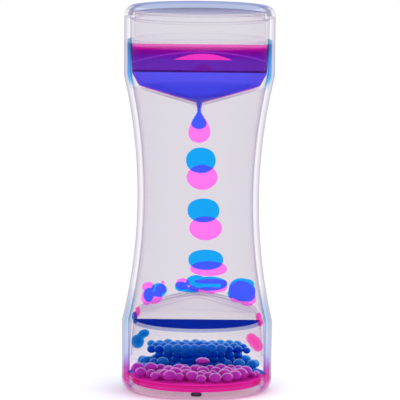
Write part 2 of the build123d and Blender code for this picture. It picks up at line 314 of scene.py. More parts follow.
@dataclass(frozen=True)
class ClearFinish:
    """A clear moulding or clear oil. It tints a little, and more where it is seen edge on."""

    name: str
    through: Colour
    rim: Levels
    gloss: float
    both_faces: bool = True
    # Colours by height painted in the strip beside what the moulding holds: painted reflections and painted
    # shade
    edges: Levels | None = None
    # Colours by height laid over the tint, as a painted reflection
    painted_reflection_layers: Levels | None = None
    roughness: float = 0.04
    wide_below: float = 60.0

    def painted_shade_and_reflection_strip(self, sheet: NodeSheet, facing: Socket) -> Socket:
        """Finds the strip of wall beside what the moulding holds, where reflections and shade are painted by
        height. It is wide in the lower half.

        Args:
            sheet: The material's node sheet.
            facing: How far the surface is turned from the eye.

        Returns:
            How much of the strip's colour shows.
        """
        rise = sheet.mapped(facing, (0.53, 0.59))
        thin = sheet.mapped(facing, (0.66, 0.76), (1.0, 0.1))
        wide = sheet.mapped(facing, (0.74, 0.86), (1.0, 0.15))
        low = sheet.reckon("LESS_THAN", sheet.axis("Z"), self.wide_below * MM)
        fall = sheet.reckon("MAXIMUM", thin, sheet.reckon("MULTIPLY", wide, low))
        return sheet.reckon("MULTIPLY", rise, fall)

    def build(self) -> Material:
        """Builds the material.

        Returns:
            The material, with its transparent part and its gloss.
        """
        material, sheet = new_material(self.name)
        swirl = swirled(sheet, 35.0, self.roughness)
        facing = sheet.facing()
        tint = sheet.ramp(facing, [(0.0, self.through), *self.rim])
        if self.painted_reflection_layers:
            tint = sheet.blended(tint, sheet.by_height(self.painted_reflection_layers))
        # Painted reflections and painted shade by height, in the strip beside what the moulding holds
        if self.edges:
            tint = sheet.blended(tint, sheet.by_height(self.edges), self.painted_shade_and_reflection_strip(sheet, facing))
        graze = sheet.mapped(facing, (0.45, 1.1))
        outside = sheet.reckon("SUBTRACT", 1.0, sheet.add("ShaderNodeNewGeometry").outputs["Backfacing"])
        share = sheet.reckon("MULTIPLY", sheet.reckon("MULTIPLY", graze, outside), self.gloss)
        shader = skinned(sheet, tint, (0.9, 0.9, 0.93), 1.45, swirl, share)
        sheet.close(shader if self.both_faces else open_behind(sheet, shader))
        return material


@dataclass(frozen=True)
class PaintedLensMark:
    """A painted mark of light or shade under a full funnel's surface: a dome on a straight base, or an arc.
    """

    base: float
    tall: float
    spread: float
    tone: Colour
    strength: float
    arc: bool = False
    arc_width: float = 0.12

    def inside(self, sheet: NodeSheet, across: Socket) -> Socket:
        """Finds where the mark lies.

        Args:
            sheet: The material's node sheet.
            across: The square of the distance from the mark's middle, one at the lens's end.

        Returns:
            One inside the mark and nothing outside it.
        """
        lift = sheet.reckon("SUBTRACT", sheet.axis("Z"), self.base * MM)
        lift = sheet.reckon("DIVIDE", lift, self.tall * MM)
        bent = sheet.reckon("ADD", lift, sheet.reckon("MULTIPLY", across, self.spread))
        if self.arc:
            away = sheet.reckon("ABSOLUTE", sheet.reckon("SUBTRACT", bent, 1.0))
            return sheet.reckon("LESS_THAN", away, self.arc_width)
        under = sheet.reckon("LESS_THAN", bent, 1.0)
        return sheet.reckon("MULTIPLY", under, sheet.reckon("GREATER_THAN", lift, 0.0))


@dataclass(frozen=True)
class LiquidFinish:
    """A coloured liquid that tints what is behind it, with a painted glow: its tint is lifted above what it
    lets through, so that it looks bright.
    """

    name: str
    through: Colour
    body: Colour
    body_share: float
    rim: Levels
    levels: Levels | None = None
    # Painted glow: above one, the liquid gives out more light than reaches it from behind
    lift: float = 1.0
    # The colour of the painted reflection lens; without it there is no lens
    glint: Colour | None = None
    lens_middle: float = 1.2
    lens_reach: float = 10.3
    roughness: float = 0.12

    def painted_reflection_lens(self, sheet: NodeSheet, tint: Socket) -> Socket:
        """Paints a bright lens under a full funnel's surface as a reflection of the pink surface, with a
        painted highlight arc over it and a painted shade dome under it.

        Args:
            sheet: The material's node sheet.
            tint: The tint without the lens.

        Returns:
            The tint with it.
        """
        shifted = sheet.reckon("SUBTRACT", sheet.axis("X"), self.lens_middle * MM)
        across = sheet.reckon("POWER", sheet.reckon("DIVIDE", shifted, self.lens_reach * MM), 2.0)
        # A painted shade dome, the painted reflection of the pink surface, and a painted highlight arc
        marks = (
            PaintedLensMark(112.8, 2.6, 7.0, (0.16, 0.0, 0.3), 0.6),
            PaintedLensMark(116.8, 2.2, 1.0, self.glint, 1.0),
            PaintedLensMark(117.4, 2.2, 0.3, (0.5, 0.25, 0.95), 0.35, arc=True),
        )
        for mark in marks:
            share = sheet.reckon("MULTIPLY", mark.inside(sheet, across), mark.strength)
            tint = sheet.blended(tint, mark.tone, share, "MIX")
        return tint

    def build(self) -> Material:
        """Builds the material.

        Returns:
            The material: a tint that changes at the rim, or by height where levels are given.
        """
        material, sheet = new_material(self.name)
        swirl = swirled(sheet, 120.0, self.roughness)
        if self.levels:
            tint = sheet.by_height(self.levels)
        else:
            tint = sheet.ramp(sheet.facing(), [(0.0, self.through), *self.rim])
        # Painted reflection of the pink surface, with its painted highlight and shade
        if self.glint:
            tint = self.painted_reflection_lens(sheet, tint)
        # Painted glow: the tint is lifted past what the liquid lets through
        painted_glow_tint = sheet.blended(tint, (self.lift,) * 3)
        base = sheet.blended(swirl["Mask"], self.body)
        sheet.close(open_behind(sheet, skinned(sheet, painted_glow_tint, base, 1.03, swirl, self.body_share)))
        return material


@dataclass(frozen=True)
class BubbleFinish:
    """Bubbles of a coloured liquid packed together: deep below as painted shade, and pale along the upper
    rim as a painted highlight.
    """

    name: str
    core: Colour
    middle: Colour
    # The painted highlight along the upper rim
    rim: Colour
    body_share: float
    roughness: float = 0.12

    def build(self) -> Material:
        """Builds the material.

        Returns:
            The material: mostly the liquid's own colour, by how squarely the bubble is seen.
        """
        material, sheet = new_material(self.name)
        swirl = swirled(sheet, 260.0, self.roughness)
        normal = sheet.add("ShaderNodeNewGeometry").outputs["Normal"]
        # Painted highlight only where the surface faces up, so the undersides keep the deep colours as
        # painted shade
        painted_highlight_top = sheet.mapped(sheet.add("ShaderNodeSeparateXYZ", None, normal).outputs["Z"], (-0.3, 0.4))
        soft = tuple(0.5 * (a + b) for a, b in zip(self.middle, self.rim))
        stops = [(0.0, self.core), (0.4, self.middle), (0.62, soft), (0.74, self.rim)]
        tint = sheet.ramp(sheet.reckon("MULTIPLY", sheet.facing(), painted_highlight_top), stops)
        sheet.close(open_behind(sheet, skinned(sheet, tint, tint, 1.1, swirl, self.body_share)))
        return material


def made_mesh(name: str, work: bmesh.types.BMesh) -> Mesh:
    """Turns a finished work mesh into a mesh of its own.

    Args:
        name: The new mesh's name.
        work: The work mesh, which is freed.

    Returns:
        The mesh.
    """
    mesh = bpy.data.meshes.new(name)
    work.to_mesh(mesh)
    work.free()
    return mesh


def loose(name: str, mesh: Mesh) -> Object:
    """Puts a bare mesh in the scene, to be worked on.

    Args:
        name: The object's name.
        mesh: The mesh.

    Returns:
        The object.
    """
    piece = bpy.data.objects.new(name, mesh)
    bpy.context.scene.collection.objects.link(piece)
    return piece


def lifted_out(piece: Object, name: str) -> Mesh:
    """Takes a worked mesh out of the scene again.

    Args:
        piece: The object, which is removed.
        name: The mesh's name from now on.

    Returns:
        The mesh.
    """
    mesh = piece.data
    bpy.data.objects.remove(piece)
    mesh.name = name
    return mesh


def linked(name: str, mesh: Mesh, material: Material) -> Object:
    """Puts a mesh in the scene with its material and smooth shading.

    Args:
        name: The new object's name.
        mesh: The mesh, in metres in the shared frame.
        material: Its finish.

    Returns:
        The new object.
    """
    mesh.materials.clear()
    mesh.materials.append(material)
    mesh.polygons.foreach_set("use_smooth", [True] * len(mesh.polygons))
    return loose(name, mesh)


def seated(piece: Object, body: str, slot: str, *nodes: str) -> None:
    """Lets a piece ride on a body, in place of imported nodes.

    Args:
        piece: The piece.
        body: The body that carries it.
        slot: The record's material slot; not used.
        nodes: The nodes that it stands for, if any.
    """
    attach(piece, body)
    if nodes:
        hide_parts(*nodes)
    LOG.info("%s: %d faces on %s", piece.name, len(piece.data.polygons), body)


def dress_node(node: Object, finish: Material) -> None:
    """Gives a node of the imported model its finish.

    Args:
        node: The node's object.
        finish: The material for all of it.
    """
    node.data.materials.clear()
    node.data.materials.append(finish)
    LOG.info("%s: carried over, %s", node.name, finish.name)


def sharpened(mesh: Mesh, angle: float) -> None:
    """Keeps the edges that are sharper than an angle in degrees sharp under smooth shading.

    Args:
        mesh: The mesh.
        angle: The angle.
    """
    work = bmesh.new()
    work.from_mesh(mesh)
    for edge in work.edges:
        edge.smooth = not (len(edge.link_faces) == 2 and edge.calc_face_angle(0) > math.radians(angle))
    work.to_mesh(mesh)
    work.free()


def turned_mesh(
    name: str, outline: Outline, start: float = 0.0, sweep: float = 360.0, steps: int = 160
) -> Mesh:
    """Turns a closed outline about the upright axis.

    Args:
        name: The new mesh's name.
        outline: Radius and height of each corner in millimetres, in order round the outline.
        start: The bearing at which the turn starts, in degrees.
        sweep: How far it goes round, in degrees. Less than a full turn gets flat ends.
        steps: The number of steps in the turn.

    Returns:
        The closed mesh.
    """
    work = bmesh.new()
    full = sweep >= 360
    rings = []
    for step in range(steps if full else steps + 1):
        angle = math.radians(start + sweep * step / steps)
        east, north = MM * math.cos(angle), MM * math.sin(angle)
        rings.append([work.verts.new((r * east, r * north, z * MM)) for r, z in outline])
    count = len(outline)
    for one, two in zip(rings, rings[1:] + rings[:1] if full else rings[1:]):
        for corner in range(count):
            after = (corner + 1) % count
            work.faces.new((one[corner], two[corner], two[after], one[after]))
    if not full:
        work.faces.new(rings[0])
        work.faces.new(list(reversed(rings[-1])))
    bmesh.ops.remove_doubles(work, verts=work.verts, dist=1e-7)
    bmesh.ops.dissolve_degenerate(work, dist=1e-8, edges=work.edges)
    bmesh.ops.recalc_face_normals(work, faces=work.faces)
    return made_mesh(name, work)


def half_turned(name: str, outline: Outline, side: Side) -> Mesh:
    """Turns an outline on one side of the divider only, clear of the plate itself.

    Args:
        name: The new mesh's name.
        outline: Radius and height of each corner in millimetres.
        side: The side that is filled.

    Returns:
        The closed mesh.
    """
    mesh = turned_mesh(name, outline, 180.0 if side is Side.FRONT else 0.0, 180.0, 96)
    gap, reach = 0.7, 24.3
    squeeze = Matrix.Diagonal((1, 1 - gap / reach, 1, 1))
    mesh.transform(Matrix.Translation((0, side.value * gap * MM, 0)) @ squeeze)
    return mesh


def turned_over(mesh: Mesh) -> Mesh:
    """Turns a mesh end for end about the middle of the timer.

    Args:
        mesh: The mesh.

    Returns:
        The same mesh.
    """
    mesh.transform(Matrix.Translation((0, 0, HEIGHT * MM)) @ Matrix.Diagonal((1, 1, -1, 1)))
    mesh.flip_normals()
    return mesh


def arc_points(centre: Pair, radius: float, start: float, end: float, steps: int) -> Outline:
    """Points along an arc of an outline, from one bearing to another in degrees."""
    turns = [math.radians(start + (end - start) * step / steps) for step in range(steps + 1)]
    return [(centre[0] + radius * math.cos(t), centre[1] + radius * math.sin(t)) for t in turns]


def settled(piece: Object) -> Object:
    """Applies all of a piece's modifiers to its mesh.

    Args:
        piece: The piece.

    Returns:
        The same piece.
    """
    bpy.context.view_layer.update()
    graph = bpy.context.evaluated_depsgraph_get()
    mesh = bpy.data.meshes.new_from_object(piece.evaluated_get(graph))
    old = piece.data
    piece.modifiers.clear()
    piece.data = mesh
    bpy.data.meshes.remove(old)
    return piece


def changed(piece: Object, other: Mesh, change: Change) -> Object:
    """Cuts a closed mesh out of a piece, or joins it to the piece.

    Args:
        piece: The piece.
        other: The other mesh, which is removed afterwards.
        change: What the other mesh does to the piece.

    Returns:
        The same piece.
    """
    tool = loose("tool", other)
    step = piece.modifiers.new("step", "BOOLEAN")
    step.operation, step.object, step.solver = change.value, tool, "EXACT"
    settled(piece)
    bpy.data.meshes.remove(lifted_out(tool, "tool"))
    return piece


def eased(profile: Outline, steps: int) -> Outline:
    """Draws a smooth curve through the points of a profile.

    Args:
        profile: Places along the curve, rising, each with its reach.
        steps: How many points to draw.

    Returns:
        The points of the curve.
    """
    least = 0.02
    drawn = []
    for step in range(1, steps + 1):
        at = step / steps
        spot = max(i for i in range(len(profile) - 1) if profile[i][0] < at or i == 0)
        (a, low), (b, high) = profile[spot], profile[spot + 1]
        before = profile[max(spot - 1, 0)]
        after = profile[min(spot + 2, len(profile) - 1)]
        share = (at - a) / (b - a)
        first = (high - before[1]) / (b - before[0]) * (b - a)
        last = (after[1] - low) / (after[0] - a) * (b - a)
        cube, square = share**3, share**2
        reach = (2 * cube - 3 * square + 1) * low + (cube - 2 * square + share) * first
        reach += (3 * square - 2 * cube) * high + (cube - square) * last
        drawn.append((at, max(least, reach)))
    return drawn


@dataclass(frozen=True)
class Lobe:
    """One rounded lobe of a drop: its centre, its three sizes and its lean, in millimetres and degrees."""

    centre: Point
    sizes: Point
    lean: Point = (0.0, 0.0, 0.0)


Lobes = tuple[Lobe, ...]


@dataclass(frozen=True)
class LobedDrop:
    """A drop of several lobes that are melted together, and which packed drop it stands for."""

    part: str
    lobes: Lobes
    voxel: float = 0.24
    deep: bool = False


def lobed_mesh(name: str, lobes: Lobes, voxel: float, rounds: int = 6) -> Mesh:
    """Melts several lobes into one smooth drop.

    Args:
        name: The new mesh's name.
        lobes: The lobes to melt together.
        voxel: The remesh step in millimetres.
        rounds: How many rounds of smoothing follow.

    Returns:
        The closed mesh.
    """
    work = bmesh.new()
    for lobe in lobes:
        shape = Matrix.Diagonal((*[size / 2 * MM for size in lobe.sizes], 1))
        turn = Euler([math.radians(angle) for angle in lobe.lean]).to_matrix().to_4x4()
        place = Matrix.Translation(Vector(lobe.centre) * MM)
        bmesh.ops.create_icosphere(work, subdivisions=4, radius=1.0, matrix=place @ turn @ shape)
    piece = loose(name, made_mesh(name, work))
    melt = piece.modifiers.new("melt", "REMESH")
    melt.mode, melt.voxel_size = "VOXEL", voxel * MM
    even = piece.modifiers.new("even", "SMOOTH")
    even.factor, even.iterations = 0.5, rounds
    return lifted_out(settled(piece), name)


def casing_finish() -> Material:
    """The clear plastic of the casing's outside, with painted reflections of the liquids it holds in the
    strips beside them.

    Returns:
        The material.
    """
    # Painted reflections by height: the pink pool low down, the blue bubbles above it, and the blue
    # reservoir near the top
    edges = [
        (0.0, (0.95, 0.12, 0.55)),
        (5.5, (0.9, 0.15, 0.6)),
        (8.5, (0.6, 0.4, 0.8)),
        (11.0, (0.7, 0.78, 0.94)),
        (21.0, (0.78, 0.87, 0.97)),
        (26.0, (0.66, 0.82, 0.94)),
        (33.0, (0.86, 0.9, 0.97)),
        (37.0, WHITE),
        (107.0, WHITE),
        (110.5, (0.28, 0.68, 1.0)),
        (117.0, (0.24, 0.55, 0.92)),
        (121.6, (0.16, 0.4, 0.66)),
        (123.4, (0.2, 0.5, 0.66)),
        (123.8, WHITE),
        (136.0, WHITE),
    ]
    rim = [
        (0.5, (0.975, 0.97, 0.98)),
        (0.58, (0.9, 0.88, 0.92)),
        (0.64, (0.97, 0.965, 0.975)),
        (0.76, (0.86, 0.83, 0.88)),
        (0.88, (0.76, 0.72, 0.8)),
        (1.0, (0.45, 0.4, 0.52)),
    ]
    return ClearFinish("clear_acrylic", CLEAR_TONE, rim, 0.14, edges=edges).build()


def casing_inside_finish() -> Material:
    """The same plastic on the casing's other faces."""
    rim = [(0.6, (0.975, 0.97, 0.98)), (0.9, (0.88, 0.86, 0.9)), (1.0, (0.62, 0.58, 0.68))]
    return ClearFinish("clear_acrylic_inside", CLEAR_TONE, rim, 0.1).build()


def top_cap_finish() -> Material:
    """The plastic of the top cap, with a painted pale blue reflection over its rounded edge and painted
    shade at its corners.

    Returns:
        The material.
    """
    # The darkest end of the rim is painted shade at the cap's corners
    rim = [
        (0.6, (0.98, 0.975, 0.985)),
        (0.9, (0.93, 0.92, 0.94)),
        (0.97, (0.5, 0.45, 0.6)),
        (1.0, (0.2, 0.16, 0.3)),
    ]
    # Painted pale blue reflection over the rounded edge, then painted shade at the corners in the edge strip
    painted_reflection_layers = [(134.7, WHITE), (135.0, (0.66, 0.74, 0.92)), (136.0, (0.74, 0.78, 0.92))]
    edges = [
        (132.9, WHITE),
        (133.5, (0.42, 0.38, 0.52)),
        (134.6, (0.34, 0.31, 0.46)),
        (135.2, (0.8, 0.78, 0.88)),
        (136.0, (0.9, 0.88, 0.94)),
    ]
    return ClearFinish("clear_cap", (0.985, 0.98, 0.985), rim, 0.3, edges=edges, painted_reflection_layers=painted_reflection_layers).build()


def cap_flat_finish() -> Material:
    """The same plastic on the top cap's flat face, with a painted blue reflection where it is seen at a low
    angle.

    Returns:
        The material.
    """
    rim = [
        (0.6, (0.97, 0.965, 0.975)),
        (0.8, (0.4, 0.48, 0.74)),
        (0.95, (0.38, 0.46, 0.72)),
        (1.0, (0.5, 0.46, 0.6)),
    ]
    return ClearFinish("clear_cap_flat", CLEAR_TONE, rim, 0.2, both_faces=False).build()


def base_cap_finish() -> Material:
    """The plastic of the base cap, with the pink of the pool painted in as a reflection: faint all over and
    strong in the strip along its rounded edge.

    Returns:
        The material.
    """
    # The pink in the tone, the rim and the edge strip is a painted reflection of the pool
    rim = [(0.6, (0.96, 0.86, 0.93)), (0.9, (0.88, 0.8, 0.88)), (1.0, (0.62, 0.58, 0.68))]
    edges = [
        (0.9, WHITE),
        (2.2, (0.97, 0.5, 0.78)),
        (3.2, (0.95, 0.2, 0.6)),
        (4.0, (0.95, 0.14, 0.56)),
    ]
    return ClearFinish("clear_base_cap", (0.985, 0.93, 0.97), rim, 0.3, edges=edges).build()


def plug_finish() -> Material:
    """The smoky plastic of the fill plugs."""
    return ClearFinish("plug_clear", (0.4, 0.35, 0.45), [(1.0, (0.2, 0.16, 0.25))], 0.4).build()


@dataclass
class Shell:
    """The waisted clear casing, its two caps and the fill plugs."""

    band_radius: float = 26.5
    band_height: float = 24.5
    waist_radius: float = 21.4
    wall: float = 2.1
    edge_round: float = 3.5
    flange: float = 4.0
    cap_floor: float = 2.4
    tongue_top: float = 5.0
    dish_radius: float = 22.9
    dish_round: float = 0.8
    seat: float = 0.1

    def waist(self, band: float, waist: float, steps: int = 48) -> Outline:
        """The long curve of the waist from the lower band to the upper one.

        Args:
            band: The radius at the bands.
            waist: The radius at mid-height.
            steps: The number of steps along the curve.

        Returns:
            Radius and height of each point.
        """
        reach, rise = HEIGHT / 2 - self.band_height, band - waist
        radius = (reach**2 + rise**2) / (2 * rise)
        points = []
        for step in range(steps + 1):
            z = self.band_height + 2 * reach * step / steps
            points.append((waist + radius - math.sqrt(radius**2 - (z - HEIGHT / 2) ** 2), z))
        return points

    def casing(self) -> None:
        """Builds the casing, open at both ends."""
        bore = self.band_radius - self.wall
        top = HEIGHT - self.flange
        outer = [(self.band_radius, self.flange), *self.waist(self.band_radius, self.waist_radius)]
        inner = [(bore, top), *reversed(self.waist(bore, self.waist_radius - self.wall))]
        outline = [*outer, (self.band_radius, top), *inner, (bore, self.flange)]
        mesh = turned_mesh("casing_shell", outline, steps=192)
        sharpened(mesh, angle=40)
        piece = linked("casing_shell", mesh, casing_finish())
        mesh.materials.append(casing_inside_finish())
        slight = 0.02
        for face in mesh.polygons:
            outward = face.normal.x * face.center.x + face.normal.y * face.center.y
            inside = outward < slight * face.center.length or abs(face.normal.z) > LEVEL
            face.material_index = int(inside)
        seated(piece, HOUSING, "casing", "casing")

    def cap(self, name: str, node: str, finish: Material, flat: Material, upper: bool) -> None:
        """Builds one cap, a dish with a rounded edge.

        Args:
            name: The piece's name.
            node: The node that it stands for.
            finish: The clear plastic.
            flat: The same plastic on the flat outer face.
            upper: Whether it is the cap of the top end.
        """
        tongue = self.band_radius - self.wall - self.seat
        centre = (self.band_radius - self.edge_round, self.edge_round)
        corner = (self.dish_radius - self.dish_round, self.cap_floor + self.dish_round)
        outline = [
            (0, self.cap_floor),
            (0, 0),
            (centre[0] * 0.5, 0),
            *arc_points(centre, self.edge_round, -90, 0, 16),
            (self.band_radius, self.flange),
            (tongue, self.flange),
            (tongue, self.tongue_top),
            (self.dish_radius, self.tongue_top),
            *arc_points(corner, self.dish_round, 0, -90, 5),
        ]
        if upper:
            outline = [(r, HEIGHT - z) for r, z in outline]
        mesh = turned_mesh(name, outline, steps=192)
        sharpened(mesh, angle=40)
        piece = linked(name, mesh, finish)
        mesh.materials.append(flat)
        end, near, level = HEIGHT * MM if upper else 0.0, 0.3 * MM, 0.97
        for face in mesh.polygons:
            face.material_index = int(abs(face.normal.z) > level and abs(face.center.z - end) < near)
        seated(piece, HOUSING, "cap", node)

    def build(self, nodes: Nodes) -> None:
        """Builds the casing and both caps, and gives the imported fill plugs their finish.

        Args:
            nodes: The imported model's nodes by name.
        """
        self.casing()
        self.cap("top_cap_moulding", "top_cap", top_cap_finish(), cap_flat_finish(), True)
        base = base_cap_finish()
        self.cap("base_cap_moulding", "base_cap", base, base, False)
        smoky = plug_finish()
        for name in ("front_fill_plug", "rear_fill_plug"):
            dress_node(nodes[name], smoky)


@dataclass
class Funnels:
    """Where the funnels' faces lie, for the liquids that fill or surround them."""

    rim_z: float = 124.3
    knee_z: float = 112.2
    shoulder_z: float = 107.1
    rim_radius: float = 24.3
    knee_radius: float = 23.6
    shoulder_radius: float = 20.9
    floor_slope: float = math.tan(math.radians(16.8))
    apex_z: float = 101.074
    nozzle_offset: float = 6.2
    wall: float = 0.9

    def wall_points(self, inset: float, low: float, top: float) -> Outline:
        """The outline of a funnel's wall between two heights.

        Args:
            inset: How far the wall is drawn in.
            low: The lower height in millimetres.
            top: The upper height.

        Returns:
            Radius and height of each point, from the lowest up.
        """
        corners = [
            (self.shoulder_radius, 90.0),
            (self.shoulder_radius, self.shoulder_z),
            (self.knee_radius, self.knee_z),
            (self.rim_radius, self.rim_z),
            (self.rim_radius, 140.0),
        ]

        def reach(z: float) -> float:
            """The wall's radius at a height."""
            for (one, a), (two, b) in zip(corners, corners[1:]):
                if a <= z <= b:
                    return one + (two - one) * (z - a) / (b - a)
            return corners[-1][0]

        between = [z for _, z in corners if low < z < top]
        return [(reach(z) - inset, z) for z in (low, *between, top)]

    def cup(self, inset: float, top: float, bottom: float = 96.0) -> Outline:
        """The outline of a funnel's body, drawn in by an inset, up to some height."""
        return [(0, bottom), *self.wall_points(inset, bottom, top), (0, top)]

    def under_floor(self, side: Side, lift: float) -> Mesh:
        """All that lies under a conical funnel floor, to cut away.

        Args:
            side: The side whose nozzle the floor leads to.
            lift: How far the floor is raised.

        Returns:
            The closed mesh.
        """
        reach, bottom = 60.0, 60.0
        apex = self.apex_z + lift
        outline = [(0, apex), (reach, apex + reach * self.floor_slope), (reach, bottom), (0, bottom)]
        mesh = turned_mesh("under_floor", outline, steps=96)
        mesh.transform(Matrix.Translation((0, side.value * self.nozzle_offset * MM, 0)))
        return mesh

    def filled(self, name: str, side: Side, top: float, skin: float, lift: float) -> Mesh:
        """What fills one half of the upper funnel up to some height."""
        body = loose(name, half_turned(name, self.cup(skin, top), side))
        return lifted_out(changed(body, self.under_floor(side, lift), Change.CUT_AWAY), name)

    def dress(self, nodes: Nodes) -> None:
        """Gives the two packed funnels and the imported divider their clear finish.

        Args:
            nodes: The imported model's nodes by name.
        """
        rim = [(0.7, (0.97, 0.96, 0.975)), (1.0, (0.8, 0.76, 0.85))]
        finish = ClearFinish("clear_funnel", (0.992, 0.99, 0.993), rim, 0.08).build()
        plate_tone = (0.99, 0.988, 0.992)
        plate = ClearFinish("clear_divider", plate_tone, [(1.0, plate_tone)], 0.0).build()
        for name in ("upper_funnel", "lower_funnel"):
            dress_node(nodes[name], finish)
        dress_node(nodes["divider"], plate)


@dataclass(frozen=True)
class OilFinishes:
    """The finishes of the clear oil: its body, a thin layer, and a painted dark blue reflection on the level
    top with a painted band along its edge.
    """

    body: Material
    thin: Material
    painted_reflection_top: Material
    painted_rim_band: Material


def oil_finishes() -> OilFinishes:
    """Builds the finishes of the clear oil.

    Returns:
        The finishes.
    """
    # Painted reflection of the blue bubbles beneath, on the level top seen at a low angle, and a
    # lavender-blue painted band along its edge
    dark = (0.005, 0.03, 0.42)
    rims = {
        "clear_oil": (OIL_TONE, [(1.0, OIL_TONE)]),
        "clear_oil_thin": (CLEAR_TONE, [(1.0, CLEAR_TONE)]),
        "oil_painted_reflection": (OIL_TONE, [(0.6, OIL_TONE), (0.8, dark), (1.0, dark)]),
        "oil_painted_reflection_edge": ((0.5, 0.56, 0.82), [(1.0, (0.4, 0.4, 0.7))]),
    }
    looks = (ClearFinish(name, tone, rim, 0.0, False).build() for name, (tone, rim) in rims.items())
    return OilFinishes(*looks)


@dataclass
class Oil:
    """The clear oil of one side: between the funnels, over the reservoir and over the base."""

    side: Side
    shell: Shell
    funnels: Funnels
    finishes: OilFinishes
    level: float = 122.5
    foam: float = 8.6
    knee: float = 24.8
    # Height of the band along the level top's edge where the second painted reflection goes
    painted_rim_band: float = 1.2
    clear: float = 0.1
    skin: float = 1.0
    groove: Pair = (130.9, 131.2)
    groove_depth: float = 0.4

    @property
    def word(self) -> str:
        """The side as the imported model's names have it."""
        return "front" if self.side is Side.FRONT else "rear"

    def place(self, piece: Object) -> None:
        """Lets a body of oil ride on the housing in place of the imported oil."""
        sharpened(piece.data, angle=30)
        seated(piece, HOUSING, "oil", f"{self.word}_oil")

    def middle(self) -> None:
        """Builds the oil between the funnels as half a turned body, cut by both of them."""
        shell, funnels, clear = self.shell, self.funnels, self.clear
        top = funnels.shoulder_z - clear
        bore, waist = (radius - shell.wall - clear for radius in (shell.band_radius, shell.waist_radius))
        curve = [point for point in shell.waist(bore, waist) if point[1] <= top]
        outline = [(0, shell.band_height + clear), *curve, (curve[-1][0] + clear, top), (0, top)]
        name = f"{self.word}_oil_column"
        body = linked(name, half_turned(name, outline, self.side), self.finishes.body)
        for upper in (True, False):
            cup = loose("cup", turned_mesh("cup", funnels.cup(-clear, 130), steps=96))
            changed(cup, funnels.under_floor(self.side, -clear), Change.CUT_AWAY)
            mesh = lifted_out(cup, "cup")
            changed(body, mesh if upper else turned_over(mesh), Change.CUT_AWAY)
        self.place(body)

    def over_reservoir(self) -> None:
        """Builds the oil that has gathered over the liquid in the upper funnel."""
        dish = self.shell.dish_radius - self.clear
        wide = dish + self.groove_depth
        top = HEIGHT - self.shell.cap_floor - self.clear
        low, high = self.groove
        outline = [(0, self.level), (wide, self.level), (wide, low), (dish, high), (dish, top), (0, top)]
        name = f"{self.word}_oil_top"
        self.place(linked(name, half_turned(name, outline, self.side), self.finishes.body))

    def under_roof(self) -> None:
        """Builds the thin layer of oil under the lower funnel's roof, above its knee."""
        name = f"{self.word}_oil_roof"
        top = HEIGHT - self.knee - self.clear / 2
        mesh = turned_over(self.funnels.filled(name, self.side, top, self.skin, self.funnels.wall))
        self.place(linked(name, mesh, self.finishes.thin))

    def over_base(self) -> None:
        """Builds the oil over the bubbles in the base. In front its level top has a painted dark reflection,
        with a painted band along its edge.
        """
        low, top = HEIGHT - self.knee, HEIGHT - self.foam
        edge = self.funnels.wall_points(self.skin, low, low + self.painted_rim_band)
        rest = self.funnels.wall_points(self.skin, low + self.painted_rim_band, top)[1:]
        name = f"{self.word}_oil_base"
        mesh = turned_over(half_turned(name, [(0, low), *edge, *rest, (0, top)], self.side))
        piece = linked(name, mesh, self.finishes.body)
        # In front, the level top gets the painted dark reflection and the band below it the lavender-blue
        # painted one
        if self.side is Side.FRONT:
            mesh.materials.append(self.finishes.painted_reflection_top)
            mesh.materials.append(self.finishes.painted_rim_band)
            for face in mesh.polygons:
                high = face.center.z > (self.knee - self.painted_rim_band) * MM and abs(face.normal.z) < LEVEL
                plane = abs(face.normal.y) > FLAT and abs(face.center.y) < MM
                face.material_index = 1 if face.normal.z > LEVEL else 2 if high and not plane else 0
        self.place(piece)

    def build(self) -> None:
        """Builds all of the side's oil."""
        self.middle()
        self.over_reservoir()
        self.under_roof()
        self.over_base()


